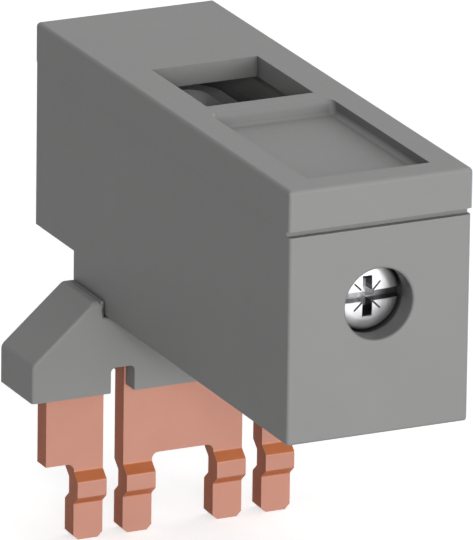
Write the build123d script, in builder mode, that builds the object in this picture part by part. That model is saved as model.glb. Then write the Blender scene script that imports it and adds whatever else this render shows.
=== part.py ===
from build123d import *
from math import cos, radians, sin, tan
import os

os.makedirs("parts", exist_ok=True)

# Parallel link for a three-pole contactor, in millimetres.
# X runs across the poles, +Y to the rear, +Z up, away from the contactor's terminals.
# The origin is the middle of the finger row: on the middle pole's axis, in the middle of
# the copper's thickness, level with the underside that seats on the contactor.
# The clamp is drawn open, with its screw backed out.

# Contactor terminals
pole_pitch = 14.5
partition_slot_width = 2.45
partition_slot_height = 2.52
partition_slot_radius = 0.5
rear_slot_width = 4.1          # the same slot behind the copper

# Copper comb
comb_thickness = 2.0
finger_width = 3.0
finger_offset = 4.7            # from a pole's screw axis to the middle of a finger
plate_setback = 0.3            # outer plate's end, inside its pole's screw axis
plate_drop = 7.28              # plates below the carrier's underside
finger_drop = 14.93            # finger tips below the carrier's underside
joggle_offset = 0.9            # how far a finger steps forward
joggle_start = 8.08            # first bend, below the carrier's underside
joggle_bend = 0.78             # height of each bend
joggle_flat = 1.64
bend_radius = 0.25
tip_chamfer = 0.5
shoulder_fillet = 0.65         # between a plate's lower edge and its finger
plate_corner = 0.5
bridge_base = 3.42             # underside of the bar that joins the plates
bridge_fillet = 0.2
neck_gap = 0.35                # beside the neck, inside the cage

# Carrier with its sloped shoulders
carrier_wall = 2.38            # beside an outer plate
carrier_front = 3.0            # front face, ahead of the copper's middle
carrier_rear = 4.16            # rear face, behind the copper's middle
shelf_width = 1.1              # level part of a shoulder, beside the block
shoulder_angle = 41.2
shoulder_radius = 0.9
shelf_radius = 0.6
face_fillet = 0.3              # around the carrier's front face
shelf_brow = 0.7               # rounding at the front of the shelf
seat_height = 7.72             # where the terminal block stands on the carrier
shelf_rise = 1.45              # shelf beside the block, above the seat
seat_roof = 0.9                # between the copper bar and the seat
slope_wall = 1.2
collar_thickness = 0.35
collar_rise = 1.5              # top of the collar, above the seat
collar_setback = 0.7           # collar's end, ahead of the carrier's rear face
collar_inset = 0.15            # its other end, behind the carrier's front face

# Terminal block, base below and cover above
block_width = 18.49
block_depth = 55.92
block_rear = 13.17             # rear face, behind the copper's middle
block_height = 24.37
cover_height = 3.87
cover_overhang = 0.11          # the cover stands this far proud of the base's sides
cover_front_step = 0.03        # and of its front
cover_rear_step = 0.12         # but its rear is this far short of the base's
wall = 1.88
floor_thickness = 2.0
overhang_rise = 4.3            # underside of the rear overhang, above the block's underside
overhang_gap = 0.29            # from the carrier's rear face to the overhang
groove_height = 0.6
groove_depth = 0.65
edge_fillet = 0.3
top_fillet = 0.4
rib_thickness = 1.5

# Cover details
cover_top_thickness = 2.0
label_margin = 3.04            # beside the label recess
label_front = 2.85             # from the block's front face to the label recess
label_gap = 1.95               # from the label recess to the cable window
label_depth = 1.25
label_angle = 60.0             # steepest part of the recess's sloped rear end
label_crown = 1.0              # radius where that slope begins
label_corner = 0.6
label_lip = 0.35               # run of its front end
crown_start = 8.0              # the curve's slope where it leaves the cover's top
label_floor = 1.0              # material left below the recess
label_fillet = 0.5
window_length = 12.2
window_gap = 3.75              # from the cable window to the copper's neck
tongue_thickness = 0.9
tongue_depth = 1.5
hook_width = 4.0
hook_thickness = 1.0
hook_length = 4.3              # below the cover's edge
hook_barb = 0.4
hook_ledge = 0.9               # barb's height

# Clamp
head_diameter = 7.0
head_height = 3.0
head_depth = 2.9               # head's rim, behind the block's front face
head_dome = 0.35
dome_radii = (0.66, 0.86, 1.0)  # ends of the dome's arcs, in head radii
dome_slopes = (0, 6, 16, 90)   # the head's slope at its middle and at those ends
thread_diameter = 6.0
pilot_diameter = 4.0
pilot_length = 1.35
slot_width = 1.0
slot_depth = 1.0
cross_span = 4.0
cross_width = 1.0
cross_depth = 1.9
cross_floor_span = 1.6
cross_floor_width = 0.7
mark_span = 3.7                # fine marks between the arms of the cross
mark_width = 0.18
mark_depth = 0.3
mouth_diameter = 6.8           # bore's mouth, which keeps the screw in
mouth_depth = 2.25
mouth_fillet = 0.28
tube_wall = 1.6
cage_rise = 5.46               # cage's underside, above the floor inside
cage_drop = 1.44               # cage's top, below the dividing wall's top
cage_gap = 1.55                # behind the cage, in its pocket
cage_side_gap = 0.2
strip_thickness = 1.6
cage_bend = 1.9                # inner radius of the cage's rear bends
lap_bend = 0.4                 # outer radius left at the lapped front corner
lap_gap = 0.3
neck_drop = 0.36               # copper's neck, below the cage's top
backing_drop = 2.06            # block behind the neck, below the cage's top
saddle_drop = 0.4              # pressure plate, below the cage's top
saddle_setback = 0.9           # pressure plate's face, ahead of the window
saddle_thickness = 2.2
trough_width = 7.0
trough_depth = 0.5

# Clearances
fit = 0.1                      # between mouldings, and around the copper
slide_fit = 0.25               # around the saddle, inside the cage
head_fit = 0.075               # around the screw head, in its bore
thread_fit = 0.05              # around the screw, in the cage
pilot_fit = 0.05               # around the screw's end, in the saddle

# Heights
block_base = seat_height
block_top = block_base + block_height
seam = block_top - cover_height
cover_inner = block_top - cover_top_thickness
cavity_floor = block_base + floor_thickness
overhang_base = block_base + overhang_rise
rear_floor = overhang_base + floor_thickness
wall_top = seam - tongue_depth - fit
cage_base = cavity_floor + cage_rise
cage_top = wall_top - cage_drop
cage_height = cage_top - cage_base
screw_z = (cage_base + cage_top) / 2
neck_top = cage_top - neck_drop
backing_top = cage_top - backing_drop
saddle_height = cage_height - 2 * saddle_drop
hook_tip = seam - hook_length
shelf = seat_height + shelf_rise
bar_top = seat_height - seat_roof - fit

# Places along Y, from the rear to the front
rear_y = block_rear
front_y = rear_y - block_depth
base_front = front_y + cover_front_step
base_rear = rear_y
chamber_front = base_front + wall
pocket_rear = base_rear - wall
step_y = carrier_rear + overhang_gap
cage_y1 = pocket_rear - cage_gap
backing_front = comb_thickness / 2 + fit
backing_rear = cage_y1 - strip_thickness - fit
window_y1 = -comb_thickness / 2 - window_gap
window_y0 = window_y1 - window_length
saddle_rear = window_y0 - saddle_setback
saddle_front = saddle_rear - saddle_thickness
pilot_end = saddle_front + pilot_length
lap_rear = saddle_front - fit
cage_y0 = lap_rear - 2 * strip_thickness
pocket_front = cage_y0 - fit
chamber_rear = pocket_front - wall
hook_y = (chamber_front + chamber_rear) / 2
label_y0 = front_y + label_front
label_y1 = window_y0 - label_gap
head_y = front_y + head_depth
head_rear = head_y + head_height

# Half widths
block_half = block_width / 2
base_half = block_half - cover_overhang
cavity_half = base_half - wall
cage_outer_half = cavity_half - cage_side_gap
cage_half = cage_outer_half - strip_thickness
neck_half = cage_half - neck_gap
label_half = block_half - label_margin
tongue_half = cavity_half - fit
middle_plate_half = finger_offset + finger_width / 2
outer_plate_reach = pole_pitch - plate_setback
carrier_half = outer_plate_reach + carrier_wall
outer_plate_inner = pole_pitch - middle_plate_half
inner_finger_inner = finger_offset - finger_width / 2
outer_finger_outer = pole_pitch - finger_offset + finger_width / 2
bore_radius = head_diameter / 2 + head_fit
tube_radius = bore_radius + tube_wall

# Carrier slope, and the copper's own slope kept one wall inside it
slope = tan(radians(shoulder_angle))
shelf_edge = base_half + fit + shelf_width
carrier_shoulder = shelf - (carrier_half - shelf_edge) * slope
slope_drop = (slope_wall + fit) / cos(radians(shoulder_angle))
bar_shoulder = carrier_shoulder + (carrier_half - outer_plate_reach) * slope - slope_drop
bar_edge = carrier_half - (bar_top + slope_drop - carrier_shoulder) / slope

finger_centres = (
    finger_offset - pole_pitch,
    -finger_offset,
    finger_offset,
    pole_pitch - finger_offset,
)


# Copper comb: one stamping, three plates on a common bar with a neck up into the clamp
with BuildPart() as comb:
    with BuildSketch(Plane.XZ) as comb_outline:
        with BuildLine():
            Polyline(
                (0, -plate_drop),
                (inner_finger_inner, -plate_drop),
                (inner_finger_inner, -joggle_start - shoulder_fillet),
                (middle_plate_half, -joggle_start - shoulder_fillet),
                (middle_plate_half, bridge_base),
                (outer_plate_inner, bridge_base),
                (outer_plate_inner, -joggle_start - shoulder_fillet),
                (outer_finger_outer, -joggle_start - shoulder_fillet),
                (outer_finger_outer, -plate_drop),
                (outer_plate_reach, -plate_drop),
                (outer_plate_reach, bar_shoulder),
                (bar_edge, bar_top),
                (neck_half, bar_top),
                (neck_half, neck_top),
                (0, neck_top),
                close=True,
            )
        make_face()
        mirror(about=Plane.YZ)
        plate_corners = comb_outline.vertices().filter_by(lambda v: abs(v.Y + plate_drop) < 0.01)
        fillet(plate_corners.filter_by(lambda v: 1 < abs(v.X) < outer_plate_reach - 1), shoulder_fillet)
        fillet(plate_corners.filter_by(lambda v: abs(v.X) > outer_plate_reach - 1), plate_corner)
        gap_corners = comb_outline.vertices().filter_by(lambda v: abs(v.Y - bridge_base) < 0.01)
        fillet(gap_corners, bridge_fillet)
    extrude(amount=comb_thickness / 2, both=True)
    # The fingers' lower ends are cut off at the first bend and drawn again with their joggle
    with Locations((0, 0, -joggle_start)):
        Box(
            4 * pole_pitch,
            2 * comb_thickness,
            2 * finger_drop,
            align=(Align.CENTER, Align.CENTER, Align.MAX),
            mode=Mode.SUBTRACT,
        )
    for centre in finger_centres:
        with BuildSketch(Plane.YZ.offset(centre)):
            with BuildLine():
                Polyline(
                    (-comb_thickness / 2, -joggle_start),
                    (-comb_thickness / 2 - joggle_offset, -joggle_start - joggle_bend),
                    (-comb_thickness / 2 - joggle_offset, -joggle_start - joggle_bend - joggle_flat),
                    (-comb_thickness / 2, -joggle_start - 2 * joggle_bend - joggle_flat),
                    (-comb_thickness / 2, -finger_drop),
                    (comb_thickness / 2, -finger_drop),
                    (comb_thickness / 2, -joggle_start - 2 * joggle_bend - joggle_flat),
                    (comb_thickness / 2 - joggle_offset, -joggle_start - joggle_bend - joggle_flat),
                    (comb_thickness / 2 - joggle_offset, -joggle_start - joggle_bend),
                    (comb_thickness / 2, -joggle_start),
                    close=True,
                )
            make_face()
        extrude(amount=finger_width / 2, both=True)
    bends = comb.edges().filter_by(Axis.X).filter_by_position(
        Axis.Z, -joggle_start - 2 * joggle_bend - joggle_flat - 0.1, -joggle_start + 0.1
    )
    fillet(bends, bend_radius)
    tip_edges = comb.edges().filter_by(Axis.Y).filter_by_position(
        Axis.Z, -finger_drop - 0.1, -finger_drop + 0.1
    )
    chamfer(tip_edges, tip_chamfer)


# Carrier: the moulding that holds the comb and seats on the contactor
with BuildPart() as carrier:
    with BuildSketch(Plane.XZ.offset(-carrier_rear)) as carrier_outline:
        with BuildLine():
            Polyline(
                (0, 0),
                (carrier_half, 0),
                (carrier_half, carrier_shoulder),
                (shelf_edge, shelf),
                (base_half + fit, shelf),
                (base_half + fit, seat_height),
                (0, seat_height),
                close=True,
            )
        make_face()
        mirror(about=Plane.YZ)
        turns = carrier_outline.vertices().filter_by(lambda v: abs(v.Y - carrier_shoulder) < 0.01)
        fillet(turns, shoulder_radius)
        brows = carrier_outline.vertices().filter_by(lambda v: abs(abs(v.X) - shelf_edge) < 0.01)
        fillet(brows, shelf_radius)
    extrude(amount=carrier_front + carrier_rear)
    front_face = carrier.faces().sort_by(Axis.Y)[0]
    fillet(front_face.edges().filter_by(lambda e: e.center().Z > 0.01), face_fillet)
    # The shelf falls away towards the front
    with BuildSketch(Plane.YZ):
        with Locations((-carrier_front, shelf)):
            Rectangle(2 * shelf_brow, 2 * shelf_brow)
        with Locations((-carrier_front + shelf_brow, shelf - shelf_brow)):
            Circle(shelf_brow, mode=Mode.SUBTRACT)
    extrude(amount=carrier_half, both=True, mode=Mode.SUBTRACT)
    # Collar beside the block
    with BuildSketch(Plane.XY.offset(seat_height)):
        with Locations((0, carrier_rear - collar_setback)):
            Rectangle(
                2 * (base_half + fit + collar_thickness),
                carrier_front + carrier_rear - collar_setback - collar_inset,
                align=(Align.CENTER, Align.MAX),
            )
            Rectangle(
                2 * (base_half + fit),
                carrier_front + carrier_rear,
                align=(Align.CENTER, Align.MAX),
                mode=Mode.SUBTRACT,
            )
    extrude(amount=collar_rise)
    # Slots that pass over the contactor's partitions
    with BuildSketch(Plane.XZ.offset(-carrier_rear)) as slots:
        with Locations((-pole_pitch / 2, 0), (pole_pitch / 2, 0)):
            Rectangle(partition_slot_width, 2 * partition_slot_height)
        fillet(slots.vertices(), partition_slot_radius)
    extrude(amount=carrier_front + carrier_rear, mode=Mode.SUBTRACT)
    with BuildSketch(Plane.XZ.offset(-carrier_rear)) as rear_slots:
        with Locations((-pole_pitch / 2, 0), (pole_pitch / 2, 0)):
            Rectangle(rear_slot_width, 2 * partition_slot_height)
        fillet(rear_slots.vertices(), partition_slot_radius)
    extrude(amount=carrier_rear, mode=Mode.SUBTRACT)
    # Pocket for the comb, open below, with the neck's slot through the roof
    with BuildSketch(Plane.XZ):
        with BuildLine():
            Polyline(
                (0, -seat_height),
                (outer_plate_reach + fit, -seat_height),
                (outer_plate_reach + fit, bar_shoulder + fit),
                (bar_edge + fit, bar_top + fit),
                (neck_half + fit, bar_top + fit),
                (neck_half + fit, 2 * seat_height),
                (0, 2 * seat_height),
                close=True,
            )
        make_face()
        mirror(about=Plane.YZ)
        with Locations((-pole_pitch / 2, bridge_base - fit), (pole_pitch / 2, bridge_base - fit)):
            Rectangle(
                outer_plate_inner - middle_plate_half - 2 * fit,
                2 * seat_height,
                align=(Align.CENTER, Align.MAX),
                mode=Mode.SUBTRACT,
            )
    extrude(amount=comb_thickness / 2 + fit, both=True, mode=Mode.SUBTRACT)


# Base of the terminal block: an open box with the screw's tube and the cage's pocket
with BuildPart() as base:
    with BuildSketch(Plane.YZ):
        with BuildLine():
            Polyline(
                (base_front, block_base),
                (step_y, block_base),
                (step_y, overhang_base),
                (base_rear, overhang_base),
                (base_rear, seam),
                (front_y + groove_depth, seam),
                (front_y + groove_depth, seam - groove_height),
                (base_front, seam - groove_height),
                close=True,
            )
        make_face()
    extrude(amount=base_half, both=True)
    underside = base.faces().sort_by(Axis.Z)[0]
    front_rim = underside.edges().sort_by(Axis.Y)[0]
    side_rims = underside.edges().filter_by(Axis.Y)
    fillet(base.edges().filter_by(Axis.Z) + side_rims + [front_rim], edge_fillet)
    # Chamber around the screw's tube
    with BuildSketch(Plane.XY.offset(cavity_floor)):
        with Locations((0, chamber_front)):
            Rectangle(2 * cavity_half, chamber_rear - chamber_front, align=(Align.CENTER, Align.MIN))
    extrude(amount=block_height, mode=Mode.SUBTRACT)
    # Pocket for the cage, shallower over the rear overhang
    with BuildSketch(Plane.YZ):
        with BuildLine():
            Polyline(
                (pocket_front, cavity_floor),
                (step_y - wall, cavity_floor),
                (step_y - wall, rear_floor),
                (pocket_rear, rear_floor),
                (pocket_rear, seam + cover_height),
                (pocket_front, seam + cover_height),
                close=True,
            )
        make_face()
    extrude(amount=cavity_half, both=True, mode=Mode.SUBTRACT)
    # Dividing wall lowered to clear the cover's tongue
    with BuildSketch(Plane.XY.offset(wall_top)):
        with Locations((0, chamber_front)):
            Rectangle(2 * cavity_half, pocket_rear - chamber_front, align=(Align.CENTER, Align.MIN))
    extrude(amount=block_height, mode=Mode.SUBTRACT)
    # Screw tube on its rib
    with BuildSketch(Plane.XZ.offset(-chamber_front)):
        with Locations((0, screw_z)):
            Circle(tube_radius)
        with Locations((0, cavity_floor)):
            Rectangle(rib_thickness, screw_z - cavity_floor, align=(Align.CENTER, Align.MIN))
    extrude(amount=chamber_front - chamber_rear)
    # Ribs that carry the cage
    with BuildSketch(Plane.XY.offset(cavity_floor)):
        with Locations((0, pocket_front + wall), (0, window_y1 - wall)):
            Rectangle(2 * cavity_half, rib_thickness)
            Rectangle(2 * cage_half, rib_thickness, mode=Mode.SUBTRACT)
    extrude(amount=cage_base - cavity_floor)
    with BuildSketch(Plane.XY.offset(rear_floor)):
        with Locations((0, cage_y1)):
            Rectangle(2 * cavity_half, rib_thickness, align=(Align.CENTER, Align.MAX))
            Rectangle(2 * cage_half, 2 * rib_thickness, mode=Mode.SUBTRACT)
    extrude(amount=cage_base - rear_floor)
    # Solid backing between the copper's neck and the cage's rear wall
    with BuildSketch(Plane.XY.offset(block_base + floor_thickness / 2)):
        with Locations((0, backing_front)):
            Rectangle(
                2 * (cage_half - slide_fit),
                step_y - backing_front - wall / 2,
                align=(Align.CENTER, Align.MIN),
            )
    extrude(amount=backing_top - block_base - floor_thickness / 2)
    with BuildSketch(Plane.XY.offset(overhang_base + floor_thickness / 2)):
        with Locations((0, backing_front)):
            Rectangle(
                2 * (cage_half - slide_fit),
                backing_rear - backing_front,
                align=(Align.CENTER, Align.MIN),
            )
    extrude(amount=backing_top - overhang_base - floor_thickness / 2)
    rear_arris = base.edges().filter_by(Axis.Z).filter_by_position(
        Axis.Y, backing_rear - 0.01, backing_rear + 0.01
    )
    chamfer(rear_arris, 0.7 * cage_bend)
    # Slot for the neck through the floor
    with BuildSketch(Plane.XY.offset(block_base)):
        Rectangle(2 * (neck_half + fit), comb_thickness + 2 * fit)
    extrude(amount=floor_thickness, mode=Mode.SUBTRACT)
    # Bore for the screw head, with a narrower mouth
    with BuildSketch(Plane.XZ.offset(-pocket_front)):
        with Locations((0, screw_z)):
            Circle(bore_radius)
    extrude(amount=pocket_front - front_y - mouth_depth, mode=Mode.SUBTRACT)
    with BuildSketch(Plane.XZ.offset(-front_y - mouth_depth - 1)):
        with Locations((0, screw_z)):
            Circle(mouth_diameter / 2)
    extrude(amount=mouth_depth + 2, mode=Mode.SUBTRACT)
    mouth = base.edges().filter_by(GeomType.CIRCLE).sort_by(Axis.Y)[0]
    fillet(mouth, mouth_fillet)
    # Recesses that the cover's hooks catch in
    with BuildSketch(Plane.XY.offset(hook_tip - fit)):
        with Locations((0, hook_y)):
            Rectangle(2 * (cavity_half + hook_barb), hook_width + 2 * fit)
        with Locations((0, pocket_rear + hook_barb)):
            Rectangle(hook_width + 2 * fit, hook_barb + wall, align=(Align.CENTER, Align.MAX))
        with Locations((0, hook_y)):
            Rectangle(2 * cavity_half - wall, hook_width + 2 * fit, mode=Mode.SUBTRACT)
    extrude(amount=hook_ledge + 2 * fit, mode=Mode.SUBTRACT)


# Shape of the label recess: its rear end rises in a curve, its corners are round
crown_y = label_y1 + label_crown * sin(radians(crown_start))
crown_z = block_top - label_crown * cos(radians(crown_start))
crown_points = [
    (crown_y - label_crown * sin(radians(turn)), crown_z + label_crown * cos(radians(turn)))
    for turn in (crown_start, (crown_start + label_angle) / 2, label_angle)
]
label_floor_z = block_top - label_depth
slope_foot = crown_points[2][0] - (crown_points[2][1] - label_floor_z) / tan(radians(label_angle))
with BuildPart() as label_cut:
    with BuildSketch(Plane.YZ):
        with BuildLine():
            Polyline(
                (label_y1, block_top),
                (label_y1, block_top + 1),
                (label_y0, block_top + 1),
                (label_y0, block_top),
                (label_y0 + label_lip, label_floor_z),
                (slope_foot, label_floor_z),
                crown_points[2],
            )
            ThreePointArc(crown_points[2], crown_points[1], crown_points[0])
        make_face()
    extrude(amount=label_half, both=True)
    slope_sides = label_cut.edges().filter_by(lambda e: abs(abs(e.center().X) - label_half) < 0.01)
    slope_sides = slope_sides.filter_by(
        lambda e: slope_foot < e.center().Y < label_y1 - 0.01 and e.center().Z < block_top - 0.01
    )
    fillet(slope_sides, label_corner)
    floor_rim = label_cut.faces().sort_by(Axis.Z)[0].edges()
    fillet(floor_rim, label_fillet)


# Cover with the cable window and the label recess
with BuildPart() as cover:
    with BuildSketch(Plane.XY.offset(seam)):
        with Locations((0, front_y)):
            Rectangle(block_width, block_depth - cover_rear_step, align=(Align.CENTER, Align.MIN))
    extrude(amount=cover_height)
    fillet(cover.edges().filter_by(Axis.Z), edge_fillet)
    fillet(cover.faces().sort_by(Axis.Z)[-1].edges(), top_fillet)
    # Hollow below
    with BuildSketch(Plane.XY.offset(seam)):
        with Locations((0, chamber_front)):
            Rectangle(2 * cavity_half, pocket_rear - chamber_front, align=(Align.CENTER, Align.MIN))
    extrude(amount=cover_height - cover_top_thickness, mode=Mode.SUBTRACT)
    # Tongue that drops inside the base
    with BuildSketch(Plane.XY.offset(seam - tongue_depth)):
        with Locations((0, (chamber_front + pocket_rear) / 2)):
            Rectangle(2 * tongue_half, pocket_rear - chamber_front - 2 * fit)
            Rectangle(
                2 * (tongue_half - tongue_thickness),
                pocket_rear - chamber_front - 2 * fit - 2 * tongue_thickness,
                mode=Mode.SUBTRACT,
            )
    extrude(amount=cover_inner - seam + tongue_depth)
    # Pad below the label recess
    with BuildSketch(Plane.XY.offset(block_top - label_depth - label_floor)):
        with Locations((0, label_y0)):
            Rectangle(2 * tongue_half, label_y1 - label_y0, align=(Align.CENTER, Align.MIN))
    extrude(amount=label_floor)
    # Ribs that hold the cage down, over its front and rear walls
    with BuildSketch(Plane.XY.offset(cage_top + fit)):
        with Locations((0, cage_y0 + strip_thickness)):
            Rectangle(2 * cage_half - 1, rib_thickness)
        with Locations((0, cage_y1 - strip_thickness / 2)):
            Rectangle(2 * cage_half - 1, rib_thickness - 2 * fit)
    extrude(amount=cover_inner - cage_top)
    # Label recess
    add(label_cut.part, mode=Mode.SUBTRACT)
    # Cable window
    with BuildSketch(Plane.XY.offset(cover_inner)):
        with Locations((0, window_y0)):
            Rectangle(2 * cage_half, window_length, align=(Align.CENTER, Align.MIN))
    extrude(amount=cover_top_thickness, mode=Mode.SUBTRACT)
    # Hooks: one on each side and one at the rear
    with BuildSketch(Plane.XZ.offset(-hook_y - hook_width / 2)):
        with BuildLine():
            Polyline(
                (tongue_half - hook_thickness, cover_inner),
                (tongue_half - hook_thickness, hook_tip),
                (tongue_half - hook_barb, hook_tip),
                (tongue_half + hook_barb, hook_tip + hook_ledge),
                (tongue_half, hook_tip + hook_ledge),
                (tongue_half, cover_inner),
                close=True,
            )
        make_face()
        mirror(about=Plane.YZ)
    extrude(amount=hook_width)
    with BuildSketch(Plane.YZ):
        with BuildLine():
            Polyline(
                (pocket_rear - fit - hook_thickness, cover_inner),
                (pocket_rear - fit - hook_thickness, hook_tip),
                (pocket_rear - fit - hook_barb, hook_tip),
                (pocket_rear - fit + hook_barb, hook_tip + hook_ledge),
                (pocket_rear - fit, hook_tip + hook_ledge),
                (pocket_rear - fit, cover_inner),
                close=True,
            )
        make_face()
    extrude(amount=hook_width / 2, both=True)


# Clamp cage: a ring of steel strip, its ends lapped at the front and tapped
with BuildPart() as cage:
    with BuildSketch(Plane.XY.offset(cage_base)) as ring:
        with Locations((0, cage_y0)):
            Rectangle(2 * cage_outer_half, cage_y1 - cage_y0, align=(Align.CENTER, Align.MIN))
        with Locations((0, lap_rear)):
            Rectangle(
                2 * cage_half,
                cage_y1 - strip_thickness - lap_rear,
                align=(Align.CENTER, Align.MIN),
                mode=Mode.SUBTRACT,
            )
        corner_rows = ring.vertices().group_by(Axis.Y)
        fillet(corner_rows[-1], cage_bend + strip_thickness)
        fillet(corner_rows[-2], cage_bend)
        fillet(corner_rows[0], strip_thickness + lap_bend)
        # End of the inner lap, just short of the side
        with Locations((cage_half, lap_rear)):
            Rectangle(lap_gap, strip_thickness, align=(Align.MAX, Align.MAX), mode=Mode.SUBTRACT)
    extrude(amount=cage_height)
    with BuildSketch(Plane.XZ.offset(-lap_rear)):
        with Locations((0, screw_z)):
            Circle(thread_diameter / 2 + thread_fit)
    extrude(amount=lap_rear - cage_y0, mode=Mode.SUBTRACT)


# Saddle: the plate on the screw's end that presses the cable against the neck
with BuildPart() as saddle:
    with BuildSketch(Plane.XZ.offset(-saddle_rear)) as saddle_face:
        with Locations((0, screw_z)):
            RectangleRounded(2 * (cage_half - slide_fit), saddle_height, 0.6)
    extrude(amount=saddle_thickness)
    trough_radius = (trough_width**2 / 4 + trough_depth**2) / (2 * trough_depth)
    with BuildSketch(Plane.XY.offset(screw_z - saddle_height)):
        with Locations((0, saddle_rear - trough_depth + trough_radius)):
            Circle(trough_radius)
    extrude(amount=2 * saddle_height, mode=Mode.SUBTRACT)
    with BuildSketch(Plane.XZ.offset(-saddle_front)):
        with Locations((0, screw_z)):
            Circle(pilot_diameter / 2 + pilot_fit)
    extrude(amount=-pilot_length - pilot_fit, mode=Mode.SUBTRACT)


# Clamp screw, with a slot across its head and a cross recess
with BuildPart() as screw:
    with BuildSketch(Plane.YZ.offset(0)) as screw_profile:
        with BuildLine():
            dome_y, dome_z = head_y - head_dome, screw_z
            for ring, reach in enumerate(dome_radii):
                slope_in, slope_out = dome_slopes[ring], dome_slopes[ring + 1]
                turn_in, turn_mid, turn_out = (
                    radians(turn) for turn in (slope_in, (slope_in + slope_out) / 2, slope_out)
                )
                arc_radius = (screw_z + reach * head_diameter / 2 - dome_z) / (sin(turn_out) - sin(turn_in))
                arc_middle, arc_end = (
                    (
                        dome_y + arc_radius * (cos(turn_in) - cos(turn)),
                        dome_z + arc_radius * (sin(turn) - sin(turn_in)),
                    )
                    for turn in (turn_mid, turn_out)
                )
                ThreePointArc((dome_y, dome_z), arc_middle, arc_end)
                dome_y, dome_z = arc_end
            Polyline(
                (dome_y, dome_z),
                (head_rear, screw_z + head_diameter / 2),
                (head_rear, screw_z + thread_diameter / 2),
                (saddle_front - fit, screw_z + thread_diameter / 2),
                (saddle_front - fit, screw_z + pilot_diameter / 2),
                (pilot_end, screw_z + pilot_diameter / 2),
                (pilot_end, screw_z),
                (head_y - head_dome, screw_z),
            )
        make_face()
    revolve(axis=Axis((0, 0, screw_z), (0, 1, 0)))
    with BuildSketch(Plane.XZ.offset(-head_y - slot_depth)):
        with Locations((0, screw_z)):
            Rectangle(2 * head_diameter, slot_width)
    extrude(amount=2 * slot_depth, mode=Mode.SUBTRACT)
    # Cross recess, its arms tapering inwards, and the fine marks between them
    for turn in (0, 90):
        with BuildSketch(Plane.XZ.offset(-head_y + head_dome)):
            with Locations((0, screw_z)):
                Rectangle(cross_span, cross_width, rotation=turn)
        with BuildSketch(Plane.XZ.offset(-head_y - cross_depth)):
            with Locations((0, screw_z)):
                Rectangle(cross_floor_span, cross_floor_width, rotation=turn)
        loft(mode=Mode.SUBTRACT)
    with BuildSketch(Plane.XZ.offset(-head_y + head_dome - mark_depth)):
        with Locations((0, screw_z)):
            Rectangle(mark_span, mark_width, rotation=45)
            Rectangle(mark_span, mark_width, rotation=-45)
    extrude(amount=2 * mark_depth, mode=Mode.SUBTRACT)


comb.part.label = "copper_comb"
export_step(comb.part, "parts/copper_comb.step")
carrier.part.label = "comb_carrier"
export_step(carrier.part, "parts/comb_carrier.step")
base.part.label = "housing_base"
export_step(base.part, "parts/housing_base.step")
cover.part.label = "housing_cover"
export_step(cover.part, "parts/housing_cover.step")
cage.part.label = "clamp_cage"
export_step(cage.part, "parts/clamp_cage.step")
saddle.part.label = "pressure_plate"
export_step(saddle.part, "parts/pressure_plate.step")
screw.part.label = "clamp_screw"
export_step(screw.part, "parts/clamp_screw.step")
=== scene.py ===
import math

import bpy
from mathutils import Euler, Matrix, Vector


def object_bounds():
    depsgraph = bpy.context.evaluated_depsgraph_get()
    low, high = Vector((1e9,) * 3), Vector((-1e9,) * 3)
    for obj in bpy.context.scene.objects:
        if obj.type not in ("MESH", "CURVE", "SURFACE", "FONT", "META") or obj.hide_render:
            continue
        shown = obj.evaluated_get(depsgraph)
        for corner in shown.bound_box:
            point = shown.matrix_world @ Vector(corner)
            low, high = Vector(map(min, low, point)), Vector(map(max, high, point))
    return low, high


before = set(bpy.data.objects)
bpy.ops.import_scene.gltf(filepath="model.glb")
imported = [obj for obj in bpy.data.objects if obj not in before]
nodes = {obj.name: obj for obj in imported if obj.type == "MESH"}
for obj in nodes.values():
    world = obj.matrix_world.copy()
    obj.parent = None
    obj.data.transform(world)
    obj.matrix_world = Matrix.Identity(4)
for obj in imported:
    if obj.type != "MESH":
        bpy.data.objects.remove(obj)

cad_box = [list(corner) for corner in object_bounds()]

# Camera: the photograph's viewing angle, solved from the block's and the comb's edges
PHOTO_WIDTH = 473
PHOTO_HEIGHT = 540
FOCAL_PIXELS = 11513.85
CENTRE_X = 237.248
CENTRE_Y = 270.173
SENSOR_WIDTH = 36.0
EYE = Vector((-0.43592, -0.93111, 0.35652))
AZIMUTH = math.radians(-25.386)
ELEVATION = math.radians(18.613)
ROLL = math.radians(0.779)

# Places that the plastic's painted shade follows, in metres
SCREW_Z = 0.02018
BORE_RADIUS = 0.0038
SEAM_Z = 0.0290
SOFT_LIMIT = 0.0002

# How near a wall the painted crease shade darkens the plastic: in the bore and the window, on the
# carrier, in fine gaps
WIDE_SHADE_REACH = 0.009
CARRIER_SHADE_REACH = 0.001
FINE_SHADE_REACH = 0.0006

# The screw: its dome falls by DOME_FALL times the radius squared, and depths are below the dome
HEAD_TOP = -0.0402
HEAD_REAR = -0.03685
DOME_FALL = 22.0
RECESS_DEPTH = 0.00006
RECESS_FULL_DEPTH = 0.0002
BRIGHT_DEPTH = 0.0012
BRIGHT_FULL_DEPTH = 0.0014
RING_PITCH = 0.00011
THREAD_PITCH = 0.001
THREAD_CORE = 0.0028
THREAD_FULL_RADIUS = 0.0029
THREAD_RUNOUT = 0.0006

# Studio
FLOOR_Z = cad_box[0][2] - 0.00002
FLOOR_REACH = 1.5
FLOOR_GLOW = 0.65
WORLD_LIGHT = 0.15
LAMP_TARGET = Vector((0.0, -0.012, 0.010))

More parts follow.
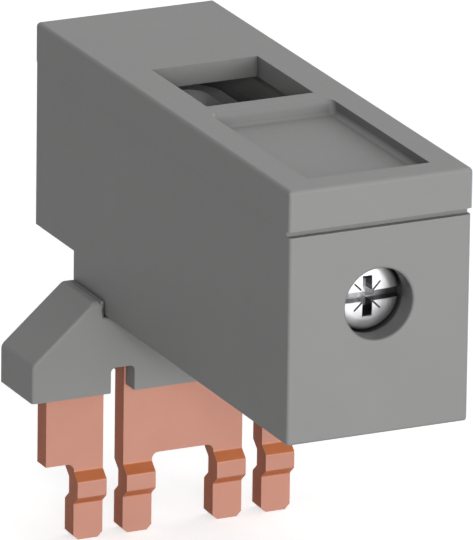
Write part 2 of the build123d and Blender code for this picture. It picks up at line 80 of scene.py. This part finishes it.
# Colours: the two of a pair are mixed by a noise
GREY = (0.30, 0.30, 0.297)
# Paler grey for rubbed wear and a painted edge highlight
RUBBED_HIGHLIT_GREY = tuple(channel * 1.25 for channel in GREY)
COPPER_FACE = ((0.65, 0.32, 0.245), (0.62, 0.305, 0.23))
# Copper: painted shade on the sheared edges, painted reflection on the bends, painted highlight on the
# arrises
COPPER_EDGE_SHADED = ((0.46, 0.14, 0.065), (0.42, 0.125, 0.055))
COPPER_BEND_REFLECTION = ((0.60, 0.195, 0.075), (0.66, 0.225, 0.095))
COPPER_ARRIS_HIGHLIGHT = (0.70, 0.37, 0.25)
ZINC = ((0.90, 0.90, 0.91), (0.95, 0.95, 0.96))
# Zinc: painted highlight on the arrises
ZINC_ARRIS_HIGHLIGHT = (0.97, 0.97, 0.98)
STEEL = ((0.80, 0.80, 0.82), (0.90, 0.90, 0.91))
# Screw: painted shade in the recesses, lighter on the deeper floors, and in the thread's grooves
STEEL_RECESS_SHADE = (0.09, 0.09, 0.095)
STEEL_DEEP_LIGHTER_SHADE = (0.7, 0.7, 0.71)
STEEL_GROOVE_SHADE = (0.25, 0.25, 0.26)
FLOOR_LIT = (0.35, 0.35, 0.35)
FLOOR_SEEN = (0.75, 0.75, 0.75)
WHITE = (1.0, 1.0, 1.0, 1.0)


# Nodes
def node(tree, kind, inputs=None, **settings):
    """Adds a node; each input is a socket to link or a value to set."""
    made = tree.nodes.new(kind)
    for key, value in settings.items():
        setattr(made, key, value)
    for key, value in (inputs or {}).items():
        if isinstance(value, bpy.types.NodeSocket):
            tree.links.new(value, made.inputs[key])
        else:
            made.inputs[key].default_value = value
    return made


def maths(tree, operation, *values):
    return node(tree, "ShaderNodeMath", dict(enumerate(values)), operation=operation).outputs[0]


def product(tree, first, second):
    return maths(tree, "MULTIPLY", first, second)


def difference(tree, first, second):
    return maths(tree, "SUBTRACT", first, second)


def parts_of(tree, vector):
    return node(tree, "ShaderNodeSeparateXYZ", {0: vector}).outputs


def scaled(tree, vector, factor):
    return node(tree, "ShaderNodeVectorMath", {0: vector, 3: factor}, operation="SCALE").outputs[0]


def ramp(tree, value, low, high, to_low=0.0, to_high=1.0):
    made = node(
        tree,
        "ShaderNodeMapRange",
        {"Value": value, "From Min": low, "From Max": high, "To Min": to_low, "To Max": to_high},
    )
    return made.outputs["Result"]


def spread(tree, pattern, to_low=0.0, to_high=1.0):
    """Spreads a noise, most of which lies between 0.3 and 0.7."""
    return ramp(tree, pattern, 0.3, 0.7, to_low, to_high)


def mix(tree, share, first, second):
    made = node(tree, "ShaderNodeMix", data_type="RGBA")
    for socket, value in zip((made.inputs[0], made.inputs[6], made.inputs[7]), (share, first, second)):
        if isinstance(value, bpy.types.NodeSocket):
            tree.links.new(value, socket)
        else:
            socket.default_value = (*value, 1.0)
    return made.outputs[2]


def noise(tree, place, scale, detail=2.0, stretch=None):
    if stretch is not None:
        place = node(tree, "ShaderNodeMapping", {"Vector": place, "Scale": stretch}).outputs[0]
    made = node(tree, "ShaderNodeTexNoise", {"Vector": place, "Scale": scale, "Detail": detail})
    return made.outputs[0]


def new_material(name, roughness, metallic=0.0):
    material = bpy.data.materials.new(name)
    material.use_nodes = True
    tree = material.node_tree
    shader = tree.nodes["Principled BSDF"]
    shader.inputs["Roughness"].default_value = roughness
    shader.inputs["Metallic"].default_value = metallic
    return material, tree, shader


def place_on(tree):
    return node(tree, "ShaderNodeTexCoord").outputs["Object"]


def edges_for_wear_and_highlight(tree, radius, low, high):
    """1 along convex and concave edges, 0 on flat faces; used for edge wear and painted edge
    highlights.
    """
    rounded = node(tree, "ShaderNodeBevel", {"Radius": radius}, samples=6).outputs[0]
    flat = node(tree, "ShaderNodeNewGeometry").outputs["Normal"]
    along = node(tree, "ShaderNodeVectorMath", {0: rounded, 1: flat}, operation="DOT_PRODUCT")
    return ramp(tree, along.outputs["Value"], 1.0 - low, 1.0 - high)


def painted_crease_shade(tree, reach, darkest):
    """Painted shade from ambient occlusion: 1 in the open, falling to darkest in narrow places and
    corners.
    """
    near = node(tree, "ShaderNodeAmbientOcclusion", {"Distance": reach}, samples=8).outputs["AO"]
    return ramp(tree, near, 0.3, 0.9, darkest, 1.0)


def relief(tree, shader, heights):
    """Chains bumps: each is a height, its strength and its depth in metres."""
    normal = None
    for height, strength, depth in heights:
        inputs = {"Height": height, "Strength": strength, "Distance": depth}
        if normal is not None:
            inputs["Normal"] = normal
        normal = node(tree, "ShaderNodeBump", inputs).outputs[0]
    tree.links.new(normal, shader.inputs["Normal"])


def seen_rays(tree):
    """1 for rays from the camera and for mirrored or refracted ones, 0 for those that carry light."""
    rays = node(tree, "ShaderNodeLightPath").outputs
    seen = maths(tree, "MAXIMUM", rays["Is Camera Ray"], rays["Is Glossy Ray"])
    return maths(tree, "MAXIMUM", seen, rays["Is Transmission Ray"])


# Places on the part
def from_screw_axis(tree, place):
    x, _, z = parts_of(tree, place)
    height = difference(tree, z, SCREW_Z)
    squares = maths(tree, "ADD", product(tree, x, x), product(tree, height, height))
    return maths(tree, "SQRT", squares)


def in_bore(tree, place):
    return ramp(tree, from_screw_axis(tree, place), BORE_RADIUS, BORE_RADIUS + SOFT_LIMIT, 1.0, 0.0)


def above_seam(tree, place):
    return ramp(tree, parts_of(tree, place)[2], SEAM_Z, SEAM_Z + SOFT_LIMIT)


# Finishes
def moulded_plastic(name, reach, shaded=None):
    """reach is that of the wide painted crease shade; shaded, a function of the place, limits where it
    falls.
    """
    material, tree, shader = new_material(name, roughness=0.52)
    shader.inputs["Specular IOR Level"].default_value = 0.3
    place = place_on(tree)
    clouds = noise(tree, place, scale=160.0, detail=3.0)
    grain = noise(tree, place, scale=5200.0)
    tone = spread(tree, clouds, 0.985, 1.015)
    # Paler edges: rubbed wear and a painted highlight
    edges = edges_for_wear_and_highlight(tree, radius=0.0003, low=0.03, high=0.3)
    rubbed_and_highlit = product(tree, edges, ramp(tree, clouds, 0.35, 0.7, 0.25, 0.6))
    skin = mix(tree, rubbed_and_highlit, scaled(tree, GREY, tone), RUBBED_HIGHLIT_GREY)

    # Painted shade: wide creases where shaded allows them, fine ones everywhere
    shade = painted_crease_shade(tree, reach, darkest=0.35)
    if shaded is not None:
        shade = maths(tree, "MAXIMUM", shade, difference(tree, 1.0, shaded(tree, place)))
    shade = product(tree, shade, painted_crease_shade(tree, FINE_SHADE_REACH, darkest=0.55))
    tree.links.new(scaled(tree, skin, shade), shader.inputs["Base Color"])
    tree.links.new(spread(tree, grain, 0.48, 0.58), shader.inputs["Roughness"])
    relief(tree, shader, [(clouds, 0.03, 0.0001), (grain, 0.1, 0.00002)])
    return material


def stamped_copper(name):
    material, tree, shader = new_material(name, roughness=0.42, metallic=0.2)
    shader.inputs["Specular IOR Level"].default_value = 0.08
    place = place_on(tree)
    # Colour by which way a face points: painted shade on the sides, painted reflection on the bends
    facing = parts_of(tree, node(tree, "ShaderNodeNewGeometry").outputs["Normal"])
    forward = maths(tree, "ABSOLUTE", facing[1])
    upward = maths(tree, "ABSOLUTE", facing[2])
    sheet = ramp(tree, forward, 0.8, 0.97)
    bend_reflection_share = product(tree, ramp(tree, upward, 0.2, 0.6), ramp(tree, forward, 0.2, 0.5))
    clouds = noise(tree, place, scale=240.0, detail=3.0)
    rolled = noise(tree, place, scale=5000.0, stretch=(1.0, 1.0, 0.06))
    sheared = noise(tree, place, scale=6000.0, stretch=(1.0, 0.08, 1.0))

    # Rolled faces; sheared edges darkened by painted shade on the side faces; bends given a painted
    # reflection; arrises paler by a painted highlight
    face = mix(tree, spread(tree, clouds), *COPPER_FACE)
    edge = mix(tree, spread(tree, sheared), *COPPER_EDGE_SHADED)
    bend_reflection = mix(tree, spread(tree, clouds), *COPPER_BEND_REFLECTION)
    skin = mix(tree, bend_reflection_share, mix(tree, sheet, edge, face), bend_reflection)
    # Paler arrises: a painted edge highlight
    arris_highlight = edges_for_wear_and_highlight(tree, radius=0.00018, low=0.04, high=0.35)
    skin = mix(tree, product(tree, arris_highlight, 0.35), skin, COPPER_ARRIS_HIGHLIGHT)
    tree.links.new(skin, shader.inputs["Base Color"])
    tree.links.new(spread(tree, rolled, 0.38, 0.5), shader.inputs["Roughness"])
    relief(tree, shader, [(rolled, 0.15, 0.00002), (sheared, 0.12, 0.00002)])
    return material


def zinc_plate(name):
    material, tree, shader = new_material(name, roughness=0.35, metallic=0.1)
    place = place_on(tree)
    clouds = noise(tree, place, scale=350.0, detail=3.0)
    grain = noise(tree, place, scale=6000.0, stretch=(1.0, 1.0, 0.1))
    tint = mix(tree, spread(tree, clouds), *ZINC)
    # Paler arrises: a painted edge highlight
    arris_highlight = edges_for_wear_and_highlight(tree, radius=0.0002, low=0.04, high=0.35)
    tint = mix(tree, product(tree, arris_highlight, 0.5), tint, ZINC_ARRIS_HIGHLIGHT)
    tree.links.new(tint, shader.inputs["Base Color"])
    tree.links.new(spread(tree, clouds, 0.3, 0.45), shader.inputs["Roughness"])
    relief(tree, shader, [(grain, 0.12, 0.00002)])
    return material


def screw_steel(name):
    material, tree, shader = new_material(name, roughness=0.2, metallic=1.0)
    place = place_on(tree)
    x, y, z = parts_of(tree, place)
    height = difference(tree, z, SCREW_Z)
    radius = from_screw_axis(tree, place)
    clouds = noise(tree, place, scale=500.0, detail=3.0)
    tint = mix(tree, spread(tree, clouds), *STEEL)

    # The slot, the cross, the fine marks and the head's rim lie below the dome and carry painted
    # shade, lighter on the deeper floors
    dome = product(tree, product(tree, radius, radius), DOME_FALL)
    below = difference(tree, difference(tree, y, HEAD_TOP), dome)
    recess_shade_share = ramp(tree, below, RECESS_DEPTH, RECESS_FULL_DEPTH)
    deep_shade_share = ramp(tree, below, BRIGHT_DEPTH, BRIGHT_FULL_DEPTH)
    tint = mix(tree, recess_shade_share, tint, mix(tree, deep_shade_share, STEEL_RECESS_SHADE, STEEL_DEEP_LIGHTER_SHADE))

    # A helical thread behind the head, with painted shade in its grooves
    turn = maths(tree, "DIVIDE", maths(tree, "ARCTAN2", x, height), 2 * math.pi)
    advance = maths(tree, "DIVIDE", y, THREAD_PITCH)
    phase = maths(tree, "FRACT", maths(tree, "ADD", advance, turn))
    flank = maths(tree, "ABSOLUTE", difference(tree, product(tree, phase, 2.0), 1.0))
    behind = ramp(tree, y, HEAD_REAR, HEAD_REAR + THREAD_RUNOUT)
    outside = ramp(tree, radius, THREAD_CORE, THREAD_FULL_RADIUS)
    threaded = product(tree, behind, outside)
    thread = product(tree, flank, threaded)
    groove_shade_share = product(tree, difference(tree, 1.0, flank), threaded)
    tint = mix(tree, product(tree, groove_shade_share, 0.6), tint, STEEL_GROOVE_SHADE)
    tree.links.new(tint, shader.inputs["Base Color"])
    tree.links.new(spread(tree, clouds, 0.33, 0.39), shader.inputs["Roughness"])

    # Turning marks
    rings = maths(tree, "SINE", product(tree, radius, 2 * math.pi / RING_PITCH))
    relief(tree, shader, [(rings, 0.05, 0.00001), (thread, 1.0, 0.0006)])
    return material


def dress(name, material):
    slots = nodes[name].data.materials
    if len(slots) == 0:
        slots.append(material)
    for index in range(len(slots)):
        slots[index] = material


# The plastics darken with painted crease shade: the base only in the bore, the cover only above the
# seam, the carrier everywhere
dress("housing_base", moulded_plastic("moulded_grey_base", WIDE_SHADE_REACH, in_bore))
dress("housing_cover", moulded_plastic("moulded_grey_cover", WIDE_SHADE_REACH, above_seam))
dress("comb_carrier", moulded_plastic("moulded_grey_carrier", CARRIER_SHADE_REACH))
dress("copper_comb", stamped_copper("stamped_copper"))
zinc = zinc_plate("zinc_plate")
dress("clamp_cage", zinc)
dress("pressure_plate", zinc)
dress("clamp_screw", screw_steel("screw_steel"))


# Camera
lens = bpy.data.cameras.new("camera")
lens.sensor_fit = "HORIZONTAL"
lens.sensor_width = SENSOR_WIDTH
lens.lens = FOCAL_PIXELS * SENSOR_WIDTH / PHOTO_WIDTH
lens.shift_x = (PHOTO_WIDTH / 2 - CENTRE_X) / PHOTO_WIDTH
lens.shift_y = (CENTRE_Y - PHOTO_HEIGHT / 2) / PHOTO_WIDTH
lens.clip_start = 0.05
lens.clip_end = 20.0
camera = bpy.data.objects.new("camera", lens)
bpy.context.scene.collection.objects.link(camera)
camera.location = EYE
aim = Euler((math.pi / 2 - ELEVATION, 0, AZIMUTH), "XYZ").to_matrix()
camera.rotation_euler = (aim @ Euler((0, 0, ROLL), "XYZ").to_matrix()).to_euler()
bpy.context.scene.camera = camera


# Studio: soft lamps, even surroundings and a pale floor
def lamp(name, azimuth, elevation, distance, size, level):
    """A square soft lamp; level is what it adds to a white face square to it."""
    light = bpy.data.lights.new(name, "AREA")
    light.shape = "SQUARE"
    light.size = size
    light.energy = level * math.pi * math.pi * distance * distance
    across = math.radians(azimuth)
    up = math.radians(elevation)
    way = Vector((math.sin(across) * math.cos(up), -math.cos(across) * math.cos(up), math.sin(up)))
    made = bpy.data.objects.new(name, light)
    bpy.context.scene.collection.objects.link(made)
    made.location = LAMP_TARGET + way * distance
    made.rotation_euler = (-way).to_track_quat("-Z", "Y").to_euler()


lamp("lamp_front", azimuth=-4.0, elevation=4.0, distance=0.8, size=0.2, level=0.345)
lamp("lamp_front_high", azimuth=-22.0, elevation=19.0, distance=0.9, size=0.2, level=0.27)
lamp("lamp_front_right", azimuth=32.0, elevation=8.0, distance=0.8, size=0.4, level=0.275)
lamp("lamp_right", azimuth=110.0, elevation=15.0, distance=0.8, size=0.5, level=0.35)
lamp("lamp_top", azimuth=0.0, elevation=88.0, distance=0.8, size=0.3, level=0.13)
lamp("lamp_rear", azimuth=150.0, elevation=50.0, distance=0.8, size=0.6, level=0.10)

world = bpy.data.worlds.new("studio")
bpy.context.scene.world = world
world.use_nodes = True
tree = world.node_tree
background = tree.nodes["Background"]
background.inputs["Color"].default_value = WHITE
tree.links.new(ramp(tree, seen_rays(tree), 0.0, 1.0, WORLD_LIGHT, 1.0), background.inputs["Strength"])

# The floor is white where it is seen and grey for the light that it throws back
corners = [(-1, -1), (1, -1), (1, 1), (-1, 1)]
floor_mesh = bpy.data.meshes.new("floor")
floor_mesh.from_pydata(
    [(x * FLOOR_REACH, y * FLOOR_REACH, FLOOR_Z) for x, y in corners],
    [],
    [(0, 1, 2, 3)],
)
floor = bpy.data.objects.new("floor", floor_mesh)
bpy.context.scene.collection.objects.link(floor)
paper, tree, shader = new_material("pale_floor", roughness=0.9)
seen = seen_rays(tree)
shader.inputs["Specular IOR Level"].default_value = 0.0
tree.links.new(mix(tree, seen, FLOOR_LIT, FLOOR_SEEN), shader.inputs["Base Color"])
shader.inputs["Emission Color"].default_value = WHITE
tree.links.new(product(tree, seen, FLOOR_GLOW), shader.inputs["Emission Strength"])
floor_mesh.materials.append(paper)

bpy.context.scene.view_settings.view_transform = "Standard"
